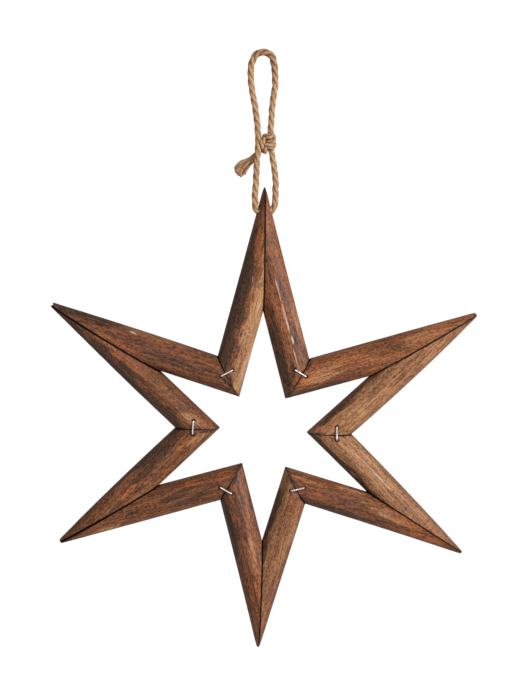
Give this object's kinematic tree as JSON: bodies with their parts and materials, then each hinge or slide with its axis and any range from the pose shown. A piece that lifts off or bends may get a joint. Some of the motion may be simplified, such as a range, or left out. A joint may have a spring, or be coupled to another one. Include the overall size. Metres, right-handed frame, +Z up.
{
  "type": "hanging wooden star ornament",
  "caption": "Hanging star of mitred half-round wooden staves, stapled at the inner elbows and hung from a knotted twine loop through its top point.",
  "frame": {"origin": "underside of the twine at the top of the hanging loop, where a nail or hook carries it", "axes": "+X to the right seen from the front, +Y from the rounded front to the flat back, +Z up"},
  "size_m": [0.3725, 0.0173, 0.5214],
  "materials": {
    "wood": "dark stained and waxed natural wood, satin, worn at the edges",
    "staple_wire": "bright galvanised wire",
    "twine": "natural three-strand jute, matt and slightly hairy"
  },
  "bodies": {
    "root": {"stave_top_left": "wood", "stave_upper_left_upper": "wood", "stave_upper_left_lower": "wood", "stave_lower_left_upper": "wood", "stave_lower_left_lower": "wood", "stave_bottom_left": "wood", "stave_bottom_right": "wood", "stave_lower_right_lower": "wood", "stave_lower_right_upper": "wood", "stave_upper_right_lower": "wood", "stave_upper_right_upper": "wood", "stave_top_right": "wood", "staple_top_left": "staple_wire", "staple_left": "staple_wire", "staple_bottom_left": "staple_wire", "staple_bottom_right": "staple_wire", "staple_right": "staple_wire", "staple_top_right": "staple_wire", "twine_loop": "twine", "twine_knot": "twine"}
  },
  "joints": []
}
